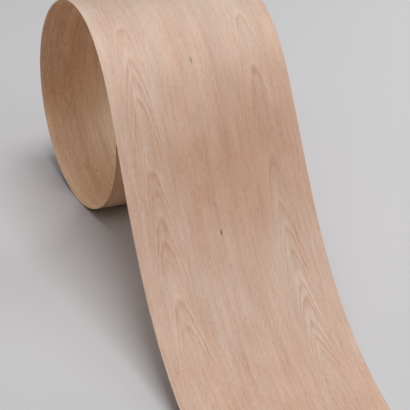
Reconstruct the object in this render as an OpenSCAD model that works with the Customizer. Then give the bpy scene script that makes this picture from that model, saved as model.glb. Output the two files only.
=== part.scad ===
// Wood veneer sheet: one leaf of sliced hardwood, sold as a long narrow strip.
// The far end has sprung into a single loop, and the rest runs out flat on the floor.
// Frame: millimetres, +Z up, floor at z = 0. The strip runs along Y, with the loop at +Y.

/* [Leaf] */
// Width of the strip, across the grain
leaf_w = 200; // [100:1:320]
// Length of the strip along its grain, as it is sold
leaf_l = 1500; // [1350:10:3100]
// Thickness of the sliced leaf
leaf_t = 0.6; // [0.4:0.05:1.2]

/* [Loop] */
// Radius of the curl at its lowest line, where it rests on the floor
heel_r = 82; // [70:1:95]
// Radius of the curl low on its back, where the sheet turns upright
rise_r = 116; // [100:1:135]
// Radius of the curl high on its back, the flattest part of the loop
crown_r = 157; // [135:1:185]
// Radius of the curl just past its top, where the sheet tips over to the front
brow_r = 112; // [98:1:130]
// Radius of the curl at the free end, tucked inside the loop
tuck_r = 73; // [65:1:95]
// Length of sheet from the lowest line of the loop to that free end
tuck_l = 150; // [60:1:165]
// Angle between the way the strip is wound and the strip's own length
lead_angle = 3.7; // [0:0.1:6]

/* [Run-out] */
// Steepest slope of the front sheet, measured from the floor
slope_angle = 46; // [40:0.5:52]

/* [Hidden] */
veneer_tan = "#c79c80";
// Largest angle turned between two ruling lines of a bend
step_angle = 2;
// Width of leaf nipped off a pointed corner, where the first or last ruling line would end
corner_w = 1;

// A bend is [length along the sheet, curvature at its start, curvature at its end], and the
// curvature changes evenly along it. Positive curvature turns the sheet up and over.
function degrees(radians) = radians * 180 / PI;
function bend(turn, k0, k1) = [turn * PI / 90 / (k0 + k1), k0, k1];
function curvature(b, s) = b[1] + (b[2] - b[1]) * s / b[0];
function turned(b, s) = degrees((b[1] + curvature(b, s)) / 2 * s);
function part(b, s0, s1) = [s1 - s0, curvature(b, s0), curvature(b, s1)];

// Walk along a bend in even steps. A pose is [distance, y, z, heading] on the middle surface.
function steps(b) = ceil(max(degrees(max(abs(b[1]), abs(b[2])) * abs(b[0])) / step_angle, 1));
function stepped(p, ds, mid, heading) = [p[0] + ds, p[1] + ds * cos(mid), p[2] + ds * sin(mid), heading];
function walk(pose, b) =
    let(n = steps(b), ds = b[0] / n)
    [
        for (
            i = 0, p = pose;
            i <= n;
            p = stepped(p, ds, pose[3] + turned(b, (i + 0.5) * ds), pose[3] + turned(b, (i + 1) * ds)),
            i = i + 1
        ) if (i > 0) p
    ];
function end_of(list) = list[len(list) - 1];
function reversed(list) = [for (i = [len(list) - 1 : -1 : 0]) list[i]];

// The loop, from its lowest line up the back, over the top and down to the steepest slope
rise_heading = 50;
crown_heading = 145;
brow_heading = 190;
start = [0, 0, 0, 0];
heel_path = walk(start, bend(rise_heading, 1 / heel_r, 1 / rise_r));
rise_path = walk(end_of(heel_path), bend(crown_heading - rise_heading, 1 / rise_r, 1 / crown_r));
crown_path = walk(end_of(rise_path), bend(brow_heading - crown_heading, 1 / crown_r, 1 / brow_r));
brow_path = walk(end_of(crown_path), bend(180 + slope_angle - brow_heading, 1 / brow_r, 0));

// The hollow bend that lands the front sheet on the floor takes up all the height that is
// left. Its height grows evenly with its radius, so one walk at unit radius gives the scale.
function landing(pose, r) =
    let(first = walk(pose, bend(-slope_angle / 2, 0, -1 / r)))
    concat(first, walk(end_of(first), bend(-slope_angle / 2, -1 / r, 0)));
unit_drop = -end_of(landing([0, 0, 0, 180 + slope_angle], 1))[2];
slope_foot = end_of(brow_path);
landing_r = slope_foot[2] / unit_drop;
landing_path = landing(slope_foot, landing_r);
touch_down = end_of(landing_path);

// The tucked end curls on more tightly, and the tail lies straight on the floor
tuck_bend = [-tuck_l, 1 / heel_r, 1 / tuck_r];
function tail_pose(s) = [s, touch_down[1] - (s - touch_down[0]), touch_down[2], 180];

// The strip is a rectangle that lies at the lead angle to the winding, so its square ends
// cut the first and last ruling lines short. Each ruling line has its own two limits.
end_l = leaf_l - tuck_l;
slant = max(sin(lead_angle), 0.0001);
function low_limit(s) =
    max(
        -leaf_w / 2 / cos(lead_angle) - s * tan(lead_angle),
        (s * cos(lead_angle) - end_l) / slant
    );
function high_limit(s) =
    min(
        leaf_w / 2 / cos(lead_angle) - s * tan(lead_angle),
        (s * cos(lead_angle) + tuck_l) / slant
    );

// Distances along the winding of the four corners of the leaf. Each pointed corner is
// nipped, so that its ruling line still has a width.
corner_s = leaf_w / 2 * sin(lead_angle);
nip_s = corner_w * sin(lead_angle);
first_s = -tuck_l * cos(lead_angle) - corner_s + nip_s;
second_s = -tuck_l * cos(lead_angle) + corner_s;
third_s = end_l * cos(lead_angle) - corner_s;
last_s = end_l * cos(lead_angle) + corner_s - nip_s;
skewed = lead_angle > 0;

tuck_path = walk(start, part(tuck_bend, 0, second_s));
tuck_corner = walk(end_of(tuck_path), part(tuck_bend, second_s, first_s));
poses = concat(
    skewed ? reversed(tuck_corner) : [],
    reversed(tuck_path),
    [start],
    heel_path,
    rise_path,
    crown_path,
    brow_path,
    landing_path,
    [tail_pose(third_s)],
    skewed ? [tail_pose(last_s)] : []
);

// Four corners of the leaf's section at one ruling line, turned so that the tail runs
// straight along Y
function turned_about_z(p) = [
    p[0] * cos(lead_angle) - p[1] * sin(lead_angle),
    p[0] * sin(lead_angle) + p[1] * cos(lead_angle),
    p[2]
];
function section(pose) =
    let(
        rise = [-sin(pose[3]), cos(pose[3])] * leaf_t / 2,
        y = pose[1],
        z = pose[2] + leaf_t / 2,
        a = low_limit(pose[0]),
        b = high_limit(pose[0])
    )
    [
        [a, y - rise[0], z - rise[1]],
        [b, y - rise[0], z - rise[1]],
        [b, y + rise[0], z + rise[1]],
        [a, y + rise[0], z + rise[1]]
    ];
points = [for (pose = poses) for (p = section(pose)) turned_about_z(p)];
last = len(poses) - 1;
faces = concat(
    [[3, 2, 1, 0]],
    [
        for (i = [0 : last - 1], k = [0 : 3])
            [4 * i + k, 4 * i + (k + 1) % 4, 4 * i + 4 + (k + 1) % 4, 4 * i + 4 + k]
    ],
    [[for (k = [0 : 3]) 4 * last + k]]
);

// The origin is the middle of the floor area that the whole sheet takes up
xs = [for (p = points) p[0]];
ys = [for (p = points) p[1]];
centre = [(min(xs) + max(xs)) / 2, (min(ys) + max(ys)) / 2, 0];

module veneer_sheet() {
    color(veneer_tan)
        translate(-centre)
            polyhedron(points, faces, convexity = 6);
}

veneer_sheet();
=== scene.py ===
# %% [markdown]
# A leaf of sliced hardwood veneer, 200 mm wide and 0.6 mm thick, stood on a pale studio floor.
# One end has sprung into a loop and the rest runs out flat. The solid from the CAD model is
# loaded first as a fixed frame, and everything here is made in the same place and size.

# %% Load the solid and keep its box
import math

import bpy
from mathutils import Matrix, Vector


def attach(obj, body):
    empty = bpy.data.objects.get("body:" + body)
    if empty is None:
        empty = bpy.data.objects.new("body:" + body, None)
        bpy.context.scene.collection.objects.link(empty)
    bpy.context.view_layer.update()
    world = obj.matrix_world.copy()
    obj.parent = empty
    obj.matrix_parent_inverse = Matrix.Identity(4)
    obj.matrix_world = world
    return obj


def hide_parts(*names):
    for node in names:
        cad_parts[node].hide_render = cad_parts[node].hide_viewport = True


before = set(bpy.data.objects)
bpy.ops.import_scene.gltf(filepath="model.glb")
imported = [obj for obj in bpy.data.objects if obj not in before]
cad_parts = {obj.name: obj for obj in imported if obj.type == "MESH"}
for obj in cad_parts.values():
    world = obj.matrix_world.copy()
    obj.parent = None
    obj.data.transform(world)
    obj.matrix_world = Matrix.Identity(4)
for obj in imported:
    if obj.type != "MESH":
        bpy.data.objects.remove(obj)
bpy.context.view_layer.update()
MM = 0.001

# %% [markdown]
# The camera stands where the photographer stood: low over the left of the run-out, looking
# along the strip towards the loop. It is tipped a little, so the strip leans in the picture.
# A long lens keeps the loop and the run-out close to their true proportions.

# %% Camera
AZIMUTH = math.radians(-25.26)
ELEVATION = math.radians(32.91)
ROLL = math.radians(6.17)
EYE = Vector((-0.56896, -0.94665, 0.92970))

backwards = Vector((
    math.sin(AZIMUTH) * math.cos(ELEVATION),
    -math.cos(AZIMUTH) * math.cos(ELEVATION),
    math.sin(ELEVATION),
))
level_right = Vector((math.cos(AZIMUTH), math.sin(AZIMUTH), 0.0))
level_up = backwards.cross(level_right)
right = level_right * math.cos(ROLL) + level_up * math.sin(ROLL)
up = level_up * math.cos(ROLL) - level_right * math.sin(ROLL)

camera_data = bpy.data.cameras.new("camera")
camera_data.sensor_fit = "HORIZONTAL"
camera_data.sensor_width = 36.0
camera_data.lens = 131.71
camera = bpy.data.objects.new("camera", camera_data)
camera.matrix_world = Matrix.Translation(EYE) @ Matrix((right, up, backwards)).transposed().to_4x4()
bpy.context.scene.collection.objects.link(camera)
bpy.context.scene.camera = camera
print("camera", [round(value, 3) for value in EYE], "lens", camera_data.lens, "mm")

# %% [markdown]
# Node trees make both the leaf and its grain. One small function adds a node, sets it and
# links it, so each line below reads as one step of the work.

# %% A helper that adds one node
def add(tree, kind, inputs=None, **settings):
    """Adds a node with its settings. An input is either a value or a socket to link from."""
    node = tree.nodes.new(kind)
    for name, value in settings.items():
        setattr(node, name, value)
    for name, value in (inputs or {}).items():
        if isinstance(value, bpy.types.NodeSocket):
            tree.links.new(value, node.inputs[name])
        else:
            node.inputs[name].default_value = value
    return node


def linear(hex_colour):
    """Turns an sRGB hex colour into the linear colour that shaders work in."""
    parts = [int(hex_colour[i:i + 2], 16) / 255 for i in (1, 3, 5)]
    return [p / 12.92 if p <= 0.04045 else ((p + 0.055) / 1.055) ** 2.4 for p in parts] + [1.0]


# %% [markdown]
# A sheet can only bend one way at a time, so the wound leaf is a flat rectangle carried along
# a winding line. A sprung leaf curls tightly at its free end and more loosely further out, so
# the curvature changes evenly within each bend. These are the bends of the solid, and the
# line starts at the lowest point of the loop.

# %% The bends of the winding line
WIDTH = 200 * MM
LENGTH = 1500 * MM
THICKNESS = 0.6 * MM
TUCK = 150 * MM
LEAD = math.radians(3.7)
HEEL_R, RISE_R, CROWN_R, BROW_R, TUCK_R = (r * MM for r in (82, 116, 157, 112, 73))
SLOPE = 46


def bend(turn_degrees, start_curvature, end_curvature):
    """Length and the two curvatures of a bend that turns through an angle."""
    return (
        math.radians(turn_degrees) * 2 / (start_curvature + end_curvature),
        start_curvature,
        end_curvature,
    )


def walk(pose, length, start_curvature, end_curvature, step=1.5 * MM):
    """Points (distance, y, z, heading) along a bend, each a small step after the last."""
    count = max(2, math.ceil(abs(length) / step))
    stride = length / count
    poses = []
    for i in range(count):
        distance, y, z, heading = pose
        curvature = start_curvature + (end_curvature - start_curvature) * (i + 0.5) / count
        middle = heading + curvature * stride / 2
        pose = (
            distance + stride,
            y + stride * math.cos(middle),
            z + stride * math.sin(middle),
            heading + curvature * stride,
        )
        poses.append(pose)
    return poses


loop = [(0.0, 0.0, 0.0, 0.0)]
for piece_of_loop in (
    bend(50, 1 / HEEL_R, 1 / RISE_R),
    bend(95, 1 / RISE_R, 1 / CROWN_R),
    bend(45, 1 / CROWN_R, 1 / BROW_R),
    bend(SLOPE - 10, 1 / BROW_R, 0),
):
    loop += walk(loop[-1], *piece_of_loop)


def landing(pose, radius):
    """The hollow bend that brings the slope down to the floor."""
    first = walk(pose, *bend(-SLOPE / 2, 0, -1 / radius))
    return first + walk(first[-1], *bend(-SLOPE / 2, -1 / radius, 0))


# The landing's height grows evenly with its radius, so one trial gives the true radius.
TRIAL_R = 0.3
trial = landing((0, 0, 0, math.radians(180 + SLOPE)), TRIAL_R)
landing_r = TRIAL_R * loop[-1][2] / -trial[-1][2]
loop += landing(loop[-1], landing_r)
run_out = LENGTH - TUCK + 0.02 - loop[-1][0]
loop += walk(loop[-1], run_out, 0, 0, step=20 * MM)
tuck_end = 1 / HEEL_R + (1 / TUCK_R - 1 / HEEL_R) * (TUCK + 0.02) / TUCK
tuck = walk(loop[0], -(TUCK + 0.02), 1 / HEEL_R, tuck_end)
winding = tuck[::-1] + loop
line_start = winding[0][0]
print("loop", round(max(p[2] for p in loop) / MM, 1), "mm high, landing radius",
      round(landing_r / MM, 1), "mm,", len(winding), "points")

# %% [markdown]
# The line becomes a poly curve, so that Geometry Nodes can sample it by length. It is only a
# guide, and is removed once the leaf is made.

# %% The winding line as a curve
line_data = bpy.data.curves.new("winding_line", "CURVE")
line_data.dimensions = "3D"
spline = line_data.splines.new("POLY")
spline.points.add(len(winding) - 1)
for point, (_, y, z, _) in zip(spline.points, winding):
    point.co = (0, y, z + THICKNESS / 2, 1)
line = bpy.data.objects.new("winding_line", line_data)
bpy.context.scene.collection.objects.link(line)

# %% [markdown]
# The real leaf is sliced flat and curls as it dries. The node tree does the same: it makes a
# flat board 0.6 mm thick, notes where each point lies on it for the grain, and winds it along
# the line at the lead angle, because the strip wanders sideways as it leaves the loop.

# %% The tree that winds the leaf
tree = bpy.data.node_groups.new("wind_the_leaf", "GeometryNodeTree")
sockets = {}
for name, kind in (
    ("Width", "NodeSocketFloat"),
    ("Length", "NodeSocketFloat"),
    ("Thickness", "NodeSocketFloat"),
    ("Tuck", "NodeSocketFloat"),
    ("Lead angle", "NodeSocketFloat"),
    ("Line start", "NodeSocketFloat"),
    ("Across", "NodeSocketInt"),
    ("Along", "NodeSocketInt"),
    ("Winding line", "NodeSocketObject"),
    ("Material", "NodeSocketMaterial"),
):
    sockets[name] = tree.interface.new_socket(name, in_out="INPUT", socket_type=kind).identifier
tree.interface.new_socket("Geometry", in_out="OUTPUT", socket_type="NodeSocketGeometry")
given = add(tree, "NodeGroupInput").outputs

size = add(tree, "ShaderNodeCombineXYZ", {0: given["Width"], 1: given["Length"], 2: given["Thickness"]})
board = add(tree, "GeometryNodeMeshCube", {
    "Size": size.outputs[0], "Vertices X": given["Across"], "Vertices Y": given["Along"], "Vertices Z": 2,
})

# Flat place on the leaf: across from its middle, along from the lowest line of the loop
half_length = add(tree, "ShaderNodeMath", {0: given["Length"], 1: 0.5}, operation="MULTIPLY")
shift = add(tree, "ShaderNodeMath", {0: half_length.outputs[0], 1: given["Tuck"]}, operation="SUBTRACT")
shift_vector = add(tree, "ShaderNodeCombineXYZ", {1: shift.outputs[0]})
position = add(tree, "GeometryNodeInputPosition")
flat = add(tree, "ShaderNodeVectorMath", {0: position.outputs[0], 1: shift_vector.outputs[0]}, operation="ADD")
flat_mm = add(tree, "ShaderNodeVectorMath", {0: flat.outputs[0], "Scale": 1 / MM}, operation="SCALE")
noted = add(tree, "GeometryNodeStoreNamedAttribute", {
    "Geometry": board.outputs["Mesh"], "Name": "flat_mm", "Value": flat_mm.outputs[0],
}, data_type="FLOAT_VECTOR", domain="POINT")

# The same place turned by the lead angle: how far along the winding, and how far aside
turned = add(tree, "ShaderNodeVectorRotate", {
    "Vector": flat.outputs[0], "Angle": given["Lead angle"],
}, rotation_type="Z_AXIS")
wound = add(tree, "ShaderNodeSeparateXYZ", {0: turned.outputs[0]})
reach = add(tree, "ShaderNodeMath", {0: wound.outputs["Y"], 1: given["Line start"]}, operation="SUBTRACT")
guide = add(tree, "GeometryNodeObjectInfo", {"Object": given["Winding line"]}, transform_space="ORIGINAL")
sample = add(tree, "GeometryNodeSampleCurve", {
    "Curves": guide.outputs["Geometry"], "Length": reach.outputs[0],
}, mode="LENGTH", use_all_curves=True)
outwards = add(tree, "ShaderNodeVectorMath", {
    0: (1, 0, 0), 1: sample.outputs["Tangent"],
}, operation="CROSS_PRODUCT")
lift = add(tree, "ShaderNodeVectorMath", {0: outwards.outputs[0], "Scale": wound.outputs["Z"]}, operation="SCALE")
aside = add(tree, "ShaderNodeCombineXYZ", {0: wound.outputs["X"]})
on_line = add(tree, "ShaderNodeVectorMath", {0: sample.outputs["Position"], 1: lift.outputs[0]}, operation="ADD")
in_place = add(tree, "ShaderNodeVectorMath", {0: on_line.outputs[0], 1: aside.outputs[0]}, operation="ADD")
straight = add(tree, "ShaderNodeVectorRotate", {
    "Vector": in_place.outputs[0], "Angle": given["Lead angle"],
}, rotation_type="Z_AXIS")
leaf_shape = add(tree, "GeometryNodeSetPosition", {
    "Geometry": noted.outputs[0], "Position": straight.outputs[0],
})

# The cut edges stay crisp, and the two faces are smooth
fold = add(tree, "GeometryNodeInputMeshEdgeAngle")
crisp = add(tree, "FunctionNodeCompare", {0: fold.outputs["Unsigned Angle"], 1: 0.7}, operation="GREATER_THAN")
smooth = add(tree, "GeometryNodeSetShadeSmooth", {
    "Geometry": leaf_shape.outputs[0], "Selection": crisp.outputs[0], "Shade Smooth": False,
}, domain="EDGE")
real = add(tree, "GeometryNodeRealizeInstances", {0: smooth.outputs[0]})
finished = add(tree, "GeometryNodeSetMaterial", {"Geometry": real.outputs[0], "Material": given["Material"]})
add(tree, "NodeGroupOutput", {0: finished.outputs[0]})

# %% [markdown]
# The wood is a pale, fine-textured hardwood of the cherry kind, sliced flat and left bare. Its
# grain is drawn in flat millimetres, before the leaf was wound, so it follows every bend. The
# fibres never run quite straight, so the place is first pushed about by slow noise.

# %% Veneer material: flat place and wandering grain
veneer = bpy.data.materials.new("sliced_cherry_veneer_bare")
veneer.use_nodes = True
wood = veneer.node_tree
wood.nodes.clear()
place = add(wood, "ShaderNodeAttribute", attribute_type="GEOMETRY", attribute_name="flat_mm").outputs["Vector"]

# Each noise has features about this many millimetres wide and this many long
noise = {}
for name, across_mm, along_mm, detail, seed in (
    ("wander", 60, 260, 2, 3.1),
    ("jag", 4, 16, 3, 8.4),
    ("uneven", 7, 70, 3, 5.7),
    ("patches", 16, 60, 2, 12.9),
    ("slow_hue", 20, 260, 2, 15.5),
    ("fine_hue", 3.2, 38, 2, 21.3),
    ("pores", 0.8, 5, 1, 18.2),
):
    scaled = add(wood, "ShaderNodeVectorMath", {
        0: place, 1: (1 / across_mm, 1 / along_mm, 0), 2: (seed, seed * 1.7, seed),
    }, operation="MULTIPLY_ADD")
    noise[name] = add(wood, "ShaderNodeTexNoise", {
        "Vector": scaled.outputs[0], "Scale": 1.0, "Detail": detail,
    })

wandered = place
for name, reach_mm in (("wander", (14, 24, 0)), ("jag", (1.2, 8, 0))):
    off_centre = add(wood, "ShaderNodeVectorMath", {
        0: noise[name].outputs["Color"], 1: (0.5, 0.5, 0.5),
    }, operation="SUBTRACT")
    wandered = add(wood, "ShaderNodeVectorMath", {
        0: off_centre.outputs[0], 1: reach_mm, 2: wandered,
    }, operation="MULTIPLY_ADD").outputs[0]
grain = add(wood, "ShaderNodeSeparateXYZ", {0: wandered})

# %% [markdown]
# A flat-sawn face runs nearly along the skin of the growth rings. The rings taper slowly up
# the trunk like long cones, so where the knife passes close to the pith it cuts them in nested
# pointed arches. This leaf shows two such columns, one near each edge. Every point of the leaf
# belongs to the arch whose tip lies so far along the leaf, and the plain tips are where the
# real leaf has them.

# %% Growth rings in two columns of arches
PITH_MM = 11.6
ARCH_PER_RING_MM = 9.0
ARCH_STEP_MM = 19.0
TIPS_FROM, TIPS_TO = 400, 840
LIGHT_BEFORE_MM, FADE_AFTER_MM = 6, 8
ring_tone = None
for axis_mm, seed, tips in (
    (-68, 0.0, ((430, 0.7), (470, 0.9), (490, 0.8), (512, 1.0), (584, 0.7), (606, 0.5),
                (634, 1.0), (658, 0.6), (718, 1.0), (740, 0.7))),
    (63, 40.0, ((428, 0.7), (492, 0.6), (588, 0.7), (634, 0.9), (660, 0.8), (684, 0.8),
                (718, 1.0), (732, 0.8), (760, 1.0), (778, 0.9), (798, 0.8))),
):
    aside = add(wood, "ShaderNodeMath", {0: grain.outputs["X"], 1: axis_mm}, operation="SUBTRACT")
    to_pith = add(wood, "ShaderNodeCombineXYZ", {0: aside.outputs[0], 1: PITH_MM})
    radius = add(wood, "ShaderNodeVectorMath", {0: to_pith.outputs[0]}, operation="LENGTH")
    waved = add(wood, "ShaderNodeMath", {
        0: noise["uneven"].outputs[0], 1: 2.4, 2: radius.outputs["Value"],
    }, operation="MULTIPLY_ADD")
    beyond = add(wood, "ShaderNodeMath", {0: waved.outputs[0], 1: PITH_MM + 1.2}, operation="SUBTRACT")
    tip_mm = add(wood, "ShaderNodeMath", {
        0: beyond.outputs[0], 1: -ARCH_PER_RING_MM, 2: grain.outputs["Y"],
    }, operation="MULTIPLY_ADD")

    # Plain arches: each tip is a light line of early wood, then a dark line of late wood
    tip_place = add(wood, "ShaderNodeMapRange", {
        "Value": tip_mm.outputs[0], "From Min": TIPS_FROM, "From Max": TIPS_TO,
    })
    plain = add(wood, "ShaderNodeValToRGB", {0: tip_place.outputs[0]})
    plain.color_ramp.interpolation = "EASE"
    for end in plain.color_ramp.elements:
        end.color = (0.5, 0.5, 0.5, 1)
    for i, (tip, strength) in enumerate(tips):
        stops = [(tip - LIGHT_BEFORE_MM, 0.5 + 0.4 * strength), (tip, 0.5 - 0.5 * strength)]
        if i + 1 == len(tips) or tips[i + 1][0] - tip > LIGHT_BEFORE_MM + FADE_AFTER_MM + 7:
            stops.append((tip + FADE_AFTER_MM, 0.5))
        for stop_mm, grey in stops:
            stop = plain.color_ramp.elements.new((stop_mm - TIPS_FROM) / (TIPS_TO - TIPS_FROM))
            stop.color = (grey, grey, grey, 1)

    # Faint arches: the rest of the rings, evenly spaced and of chance strength
    count = add(wood, "ShaderNodeMath", {0: tip_mm.outputs[0], 1: 1 / ARCH_STEP_MM, 2: seed}, operation="MULTIPLY_ADD")
    fraction = add(wood, "ShaderNodeMath", {0: count.outputs[0]}, operation="FRACT")
    number = add(wood, "ShaderNodeMath", {0: count.outputs[0]}, operation="FLOOR")
    chance = add(wood, "ShaderNodeTexWhiteNoise", {"W": number.outputs[0]}, noise_dimensions="1D")
    faint = add(wood, "ShaderNodeValToRGB", {0: fraction.outputs[0]})
    faint.color_ramp.interpolation = "EASE"
    for end in faint.color_ramp.elements:
        end.color = (0.5, 0.5, 0.5, 1)
    for stop_place, grey in ((0.3, 0.8), (0.55, 0.1)):
        stop = faint.color_ramp.elements.new(stop_place)
        stop.color = (grey, grey, grey, 1)

    # The columns fade out sideways
    sideways = add(wood, "ShaderNodeMath", {0: aside.outputs[0]}, operation="ABSOLUTE")
    near = add(wood, "ShaderNodeMapRange", {
        "Value": sideways.outputs[0], "From Min": 5.0, "From Max": 22.0, "To Min": 1.0, "To Max": 0.12,
    }, interpolation_type="SMOOTHSTEP")
    in_column = add(wood, "ShaderNodeMapRange", {
        "Value": sideways.outputs[0], "From Min": 20.0, "From Max": 54.0, "To Min": 1.0, "To Max": 0.0,
    }, interpolation_type="SMOOTHSTEP")
    faint_weight = add(wood, "ShaderNodeMath", {0: chance.outputs["Value"], 1: 0.6}, operation="MULTIPLY")
    for ramp, weight in ((plain, near.outputs[0]), (faint, faint_weight.outputs[0])):
        change = add(wood, "ShaderNodeMath", {0: ramp.outputs["Color"], 1: 0.5}, operation="SUBTRACT")
        weighted = add(wood, "ShaderNodeMath", {0: change.outputs[0], 1: weight}, operation="MULTIPLY")
        ring_tone = add(wood, "ShaderNodeMath", {
            0: weighted.outputs[0], 1: in_column.outputs[0], 2: ring_tone.outputs[0] if ring_tone else 0.0,
        }, operation="MULTIPLY_ADD")
ring_patches = add(wood, "ShaderNodeMapRange", {
    "Value": noise["patches"].outputs[0], "From Min": 0.35, "From Max": 0.65, "To Min": 0.35, "To Max": 1.0,
})
ring_marks = add(wood, "ShaderNodeMath", {0: ring_tone.outputs[0], 1: ring_patches.outputs[0]}, operation="MULTIPLY")

# %% [markdown]
# Between the rings the tone comes from the fibres. Broad bands are a few years of growth,
# narrow streaks are single bundles, and the finest dashes are pores that the knife opened.

# %% Tone: bands, streaks, pores and rings added up
tone = None
for across_mm, along_mm, detail, weight, seed in (
    (26, 340, 2, 0.34, 1.3),
    (5.5, 120, 2, 0.43, 2.6),
    (1.8, 34, 2, 0.42, 4.9),
    (0.9, 6, 2, 0.54, 7.2),
    (24, 42, 3, 0.40, 9.8),
):
    scaled = add(wood, "ShaderNodeVectorMath", {
        0: wandered, 1: (1 / across_mm, 1 / along_mm, 0), 2: (seed, seed * 1.7, seed),
    }, operation="MULTIPLY_ADD")
    layer = add(wood, "ShaderNodeTexNoise", {"Vector": scaled.outputs[0], "Scale": 1.0, "Detail": detail})
    off_centre = add(wood, "ShaderNodeMath", {0: layer.outputs[0], 1: 0.5}, operation="SUBTRACT")
    tone = add(wood, "ShaderNodeMath", {
        0: off_centre.outputs[0], 1: weight, 2: tone.outputs[0] if tone else 0.5,
    }, operation="MULTIPLY_ADD")
pores = add(wood, "ShaderNodeMapRange", {
    "Value": noise["pores"].outputs[0], "From Min": 0.6, "From Max": 0.75,
})
for mark, weight in ((ring_marks, 0.50), (pores, -0.14)):
    tone = add(wood, "ShaderNodeMath", {0: mark.outputs[0], 1: weight, 2: tone.outputs[0]}, operation="MULTIPLY_ADD")

# %% [markdown]
# Some marks are the leaf's own: one long light streak and soft brown blotches down its middle,
# and small dark gum pockets, lens-shaped and lying along the grain. These are where the real
# leaf shows them. Other soft patches only make the tone darker or lighter in places, such as
# the upper right, the middle left and across the run-out. Two paint the inner face lighter low in the loop as painted
# light.

# %% Streak, blotches, gum pockets, tone patches and painted light
marks = {"both faces": tone.outputs[0], "inner face": 0.0, "gum": 0.0}
for across_mm, along_mm, half_width, half_length, change, kind in (
    (1, 500, 2.4, 34, 0.12, "both faces"),
    (-16, 614, 12, 17, -0.13, "both faces"),
    (18, 562, 8, 20, -0.10, "both faces"),
    (-20, 568, 14, 14, -0.08, "both faces"),
    # These three only make the tone darker in places: at the upper right, the middle left and across the run-out
    (72, 528, 45, 60, -0.15, "both faces"),
    (-54, 580, 40, 60, -0.10, "both faces"),
    (0, 880, 200, 150, -0.14, "both faces"),
    # Painted light: these two rows paint the inner face lighter low in the loop, standing in for light the lamps don't
    # bring there
    (0, 90, 60, 70, 0.41, "inner face"),
    (-5, 120, 45, 140, 0.41, "inner face"),
    (-104, 440, 30, 120, 0.16, "both faces"),
    (-74, 634, 26, 55, -0.10, "both faces"),
    (48, 720, 30, 130, 0.11, "both faces"),
    (62, 490, 5, 7, -0.14, "both faces"),
    (-44, 640, 3.0, 50, 0.08, "both faces"),
    (-29, 640, 2.5, 45, -0.06, "both faces"),
    (-5, 640, 2.2, 40, 0.05, "both faces"),
    (-36, 775, 2.6, 75, 0.10, "both faces"),
    (-19, 770, 2.2, 60, -0.08, "both faces"),
    (22, 780, 1.6, 75, -0.07, "both faces"),
    (28, 775, 2.8, 75, 0.09, "both faces"),
    (-4, 474, 0.8, 4.4, 0.75, "gum"),
    (-8, 654, 1.0, 4.0, 1.0, "gum"),
    (-6, 688, 0.7, 1.5, 0.55, "gum"),
    (-60, 42, 0.8, 2.2, 0.7, "gum"),
    (-6, 524, 0.6, 2.6, 0.35, "gum"),
    (-66, 456, 0.6, 2.2, 0.35, "gum"),
    (-56, 476, 0.6, 2.0, 0.35, "gum"),
    (-6, 744, 0.6, 3.0, 0.35, "gum"),
    (-86, 620, 0.6, 2.0, 0.3, "gum"),
):
    local = add(wood, "ShaderNodeVectorMath", {0: place, 1: (across_mm, along_mm, 0)}, operation="SUBTRACT")
    shaped = add(wood, "ShaderNodeVectorMath", {
        0: local.outputs[0], 1: (1 / half_width, 1 / half_length, 0),
    }, operation="MULTIPLY")
    distance = add(wood, "ShaderNodeVectorMath", {0: shaped.outputs[0]}, operation="LENGTH")
    spot = add(wood, "ShaderNodeMapRange", {
        "Value": distance.outputs["Value"], "From Min": 0.3, "From Max": 1.2,
        "To Min": change, "To Max": 0.0,
    }, interpolation_type="SMOOTHSTEP")
    marks[kind] = add(wood, "ShaderNodeMath", {
        0: spot.outputs[0], 1: marks[kind],
    }, operation="MAXIMUM" if kind == "gum" else "ADD").outputs[0]

# %% [markdown]
# The knife opens small checks in the loose face, which is the inner one here, so its grain
# shows more strongly. Low in the loop the inner face is painted lighter, as painted light where
# the lamps bring too little light into the loop, and there its colour is paler than real wood can be.

# %% The loose inner face, with painted light low in the loop
flat_place = add(wood, "ShaderNodeSeparateXYZ", {0: place})
inner_face = add(wood, "ShaderNodeMath", {0: flat_place.outputs["Z"], 1: 0.0}, operation="GREATER_THAN")
# Painted light: low in the loop the inner face is painted lighter, and higher up this offset cancels the stronger
# grain
inner_painted_light = add(wood, "ShaderNodeMapRange", {
    "Value": flat_place.outputs["Y"], "From Min": 60.0, "From Max": 170.0, "To Min": 0.06, "To Max": -0.33,
}, interpolation_type="SMOOTHSTEP")
inner_painted_light_total = add(wood, "ShaderNodeMath", {
    0: inner_painted_light.outputs[0], 1: marks["inner face"],
}, operation="ADD")
inner_tone_with_painted_light = add(wood, "ShaderNodeMath", {
    0: marks["both faces"], 1: 1.7, 2: inner_painted_light_total.outputs[0],
}, operation="MULTIPLY_ADD")
tone = add(wood, "ShaderNodeMix", {
    0: inner_face.outputs[0], 2: marks["both faces"], 3: inner_tone_with_painted_light.outputs[0],
}, data_type="FLOAT")

# %% [markdown]
# Bare cherry runs from a pale pinkish cream, where the wood is light, to a redder brown where
# it is dark. The hue leans a little to pink or to orange besides: more orange at the right edge
# and on the loose inner face. The top of the loop is painted pinker and paler, partly as the
# wood's own tint and partly as painted sheen.

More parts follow.
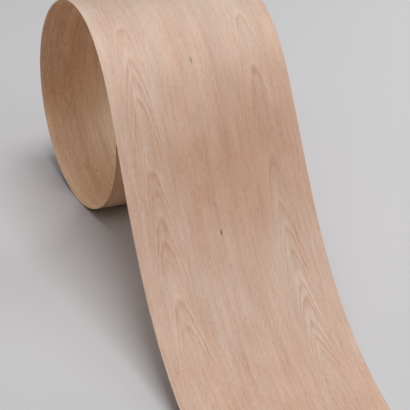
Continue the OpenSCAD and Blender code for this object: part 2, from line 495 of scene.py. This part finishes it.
# %% Colour
# Partly painted sheen: the top of the loop is painted paler and pinker, where grazing light whitens it, and the rest
# is the wood's own tint
from_top = add(wood, "ShaderNodeMath", {0: flat_place.outputs["Y"], 1: 330.0}, operation="SUBTRACT")
down_the_back = add(wood, "ShaderNodeMath", {0: from_top.outputs[0], 1: -3.0}, operation="MULTIPLY")
far_from_top = add(wood, "ShaderNodeMath", {0: from_top.outputs[0], 1: down_the_back.outputs[0]}, operation="MAXIMUM")
pinker_top_painted_sheen = add(wood, "ShaderNodeMapRange", {
    "Value": far_from_top.outputs[0], "From Min": 20.0, "From Max": 150.0, "To Min": -0.4, "To Max": 0.0,
}, interpolation_type="SMOOTHSTEP")
edge_tan = add(wood, "ShaderNodeMapRange", {
    "Value": grain.outputs["X"], "From Min": 78.0, "From Max": 96.0, "To Min": 0.0, "To Max": 0.12,
}, interpolation_type="SMOOTHSTEP")
tucked_tan = add(wood, "ShaderNodeMapRange", {
    "Value": flat_place.outputs["Y"], "From Min": -40.0, "From Max": 60.0, "To Min": 1.0, "To Max": 0.0,
}, interpolation_type="SMOOTHSTEP")
top_and_edge = add(wood, "ShaderNodeMath", {0: pinker_top_painted_sheen.outputs[0], 1: edge_tan.outputs[0]}, operation="ADD")
outer_lean = add(wood, "ShaderNodeMath", {0: top_and_edge.outputs[0], 1: tucked_tan.outputs[0]}, operation="ADD")
inner_lean = add(wood, "ShaderNodeMapRange", {
    "Value": flat_place.outputs["Y"], "From Min": 60.0, "From Max": 180.0, "To Min": 0.34, "To Max": 0.6,
}, interpolation_type="SMOOTHSTEP")
lean = add(wood, "ShaderNodeMix", {
    0: inner_face.outputs[0], 2: outer_lean.outputs[0], 3: inner_lean.outputs[0],
}, data_type="FLOAT")
hue = add(wood, "ShaderNodeMath", {0: lean.outputs[0], 1: 0.5}, operation="ADD")
for name, weight in (("slow_hue", 0.5), ("fine_hue", 0.35)):
    off_centre = add(wood, "ShaderNodeMath", {0: noise[name].outputs[0], 1: 0.5}, operation="SUBTRACT")
    hue = add(wood, "ShaderNodeMath", {0: off_centre.outputs[0], 1: weight, 2: hue.outputs[0]}, operation="MULTIPLY_ADD")
light_wood = add(wood, "ShaderNodeMix", {
    0: hue.outputs[0], 6: linear("#dbccc1"), 7: linear("#efccb3"),
}, data_type="RGBA")
dark_wood = add(wood, "ShaderNodeMix", {
    0: hue.outputs[0], 6: linear("#b08b76"), 7: linear("#c48b68"),
}, data_type="RGBA")
wood_colour = add(wood, "ShaderNodeMix", {
    0: tone.outputs[0], 6: dark_wood.outputs[2], 7: light_wood.outputs[2],
}, data_type="RGBA", clamp_factor=False)
patch_place = add(wood, "ShaderNodeVectorMath", {0: wandered, 1: (25, 590, 0)}, operation="SUBTRACT")
patch_shape = add(wood, "ShaderNodeVectorMath", {
    0: patch_place.outputs[0], 1: (1 / 110, 1 / 120, 0),
}, operation="MULTIPLY")
patch_reach = add(wood, "ShaderNodeVectorMath", {0: patch_shape.outputs[0]}, operation="LENGTH")
heartwood = add(wood, "ShaderNodeMapRange", {
    "Value": patch_reach.outputs["Value"], "From Min": 0.1, "From Max": 1.1, "To Min": 1.0, "To Max": 0.0,
}, interpolation_type="SMOOTHSTEP")
browned = add(wood, "ShaderNodeMix", {
    0: heartwood.outputs[0], 6: wood_colour.outputs[2], 7: linear("#f0e2d6"),
}, data_type="RGBA", blend_type="MULTIPLY")
yellowed_where = add(wood, "ShaderNodeMath", {
    0: inner_face.outputs[0], 1: tucked_tan.outputs[0],
}, operation="MAXIMUM")
yellowed = add(wood, "ShaderNodeMix", {
    0: yellowed_where.outputs[0], 6: browned.outputs[2], 7: linear("#fffff2"),
}, data_type="RGBA", blend_type="MULTIPLY")
coloured = add(wood, "ShaderNodeMix", {
    0: marks["gum"], 6: yellowed.outputs[2], 7: linear("#5b463c"),
}, data_type="RGBA")

# %% [markdown]
# Sliced veneer is matt, with a faint lift where the fibres lie. The relief is a few hundredths
# of a millimetre, too low to model, so it is only a bump.

# %% Relief and gloss
relief = add(wood, "ShaderNodeBump", {
    "Strength": 0.2, "Distance": 0.0002, "Height": tone.outputs[0],
})
roughness = add(wood, "ShaderNodeMapRange", {
    "Value": tone.outputs[0], "From Min": 0.2, "From Max": 0.8, "To Min": 0.56, "To Max": 0.46,
})
bsdf = add(wood, "ShaderNodeBsdfPrincipled", {
    "Base Color": coloured.outputs[2], "Roughness": roughness.outputs[0], "Normal": relief.outputs[0],
})
add(wood, "ShaderNodeOutputMaterial", {"Surface": bsdf.outputs[0]})
print("veneer grain", len(wood.nodes), "nodes")

# %% [markdown]
# The tree runs on an empty mesh. Its result is copied out as a plain mesh, moved so that it
# stands centred on the floor as the solid does, and the guide is thrown away.

# %% Wind the leaf
maker = bpy.data.objects.new("leaf_maker", bpy.data.meshes.new("leaf_maker"))
bpy.context.scene.collection.objects.link(maker)
winder = maker.modifiers.new("wind_the_leaf", "NODES")
winder.node_group = tree
for name, value in {
    "Width": WIDTH, "Length": LENGTH, "Thickness": THICKNESS, "Tuck": TUCK, "Lead angle": LEAD,
    "Line start": line_start, "Across": 41, "Along": 601, "Winding line": line, "Material": veneer,
}.items():
    winder[sockets[name]] = value
maker.update_tag()
bpy.context.view_layer.update()
graph = bpy.context.evaluated_depsgraph_get()
leaf_mesh = bpy.data.meshes.new_from_object(maker.evaluated_get(graph))
for guide_object in (maker, line):
    bpy.data.objects.remove(guide_object)

low = [min(v.co[i] for v in leaf_mesh.vertices) for i in range(3)]
high = [max(v.co[i] for v in leaf_mesh.vertices) for i in range(3)]
centre = Vector(((low[0] + high[0]) / 2, (low[1] + high[1]) / 2, 0))
leaf_mesh.transform(Matrix.Translation(-centre))
leaf = bpy.data.objects.new("veneer_leaf", leaf_mesh)
bpy.context.scene.collection.objects.link(leaf)
print("leaf", [round((b - a) / MM, 1) for a, b in zip(low, high)], "mm,",
      len(leaf_mesh.polygons), "faces, centre", [round(value / MM, 2) for value in centre])

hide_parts("veneer_sheet")
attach(leaf, "root")

# %% [markdown]
# The studio floor is a large sheet of seamless grey paper.

# %% Floor
paper = bpy.data.materials.new("seamless_grey_paper")
paper.use_nodes = True
paper.node_tree.nodes["Principled BSDF"].inputs["Base Color"].default_value = linear("#cac9cb")
paper.node_tree.nodes["Principled BSDF"].inputs["Roughness"].default_value = 0.9
floor_mesh = bpy.data.meshes.new("studio_floor")
floor_mesh.from_pydata([(-6, -6, 0), (6, -6, 0), (6, 6, 0), (-6, 6, 0)], [], [(0, 1, 2, 3)])
floor_mesh.materials.append(paper)
floor = bpy.data.objects.new("studio_floor", floor_mesh)
bpy.context.scene.collection.objects.link(floor)

# %% [markdown]
# Five soft area lamps light the leaf, all aimed at the loop: a large one overhead, a low one from
# the right and a little behind, one high at the front right, one high at the front left and a
# smaller one behind. The room adds only a faint fill.

# %% Light
def soft_lamp(name, place, target, width, height, power):
    """An area lamp that faces a target."""
    lamp_data = bpy.data.lights.new(name, "AREA")
    lamp_data.shape = "RECTANGLE"
    lamp_data.size, lamp_data.size_y = width, height
    lamp_data.energy = power
    lamp = bpy.data.objects.new(name, lamp_data)
    lamp.location = place
    lamp.rotation_euler = (Vector(target) - Vector(place)).to_track_quat("-Z", "Y").to_euler()
    bpy.context.scene.collection.objects.link(lamp)
    return lamp


soft_lamp("overhead", (0, 0.2, 2.7), (0, 0.2, 0.1), 1.2, 1.2, 44.5)
soft_lamp("low_right", (1.65, 0.80, 0.47), (0, 0.2, 0.1), 0.8, 0.8, 12)
soft_lamp("front_right", (1.66, -1.00, 1.70), (0, 0.2, 0.1), 1.7, 1.7, 13.5)
soft_lamp("high_left", (-0.99, -0.52, 2.40), (0, 0.2, 0.1), 1.7, 1.7, 11.5)
soft_lamp("high_back", (0, 1.87, 2.09), (0, 0.2, 0.1), 1.2, 1.2, 5.5)
world = bpy.data.worlds.new("room")
world.use_nodes = True
world.node_tree.nodes["Background"].inputs["Color"].default_value = (1, 1, 1, 1)
world.node_tree.nodes["Background"].inputs["Strength"].default_value = 0.02
bpy.context.scene.world = world
bpy.context.scene.view_settings.view_transform = "Standard"
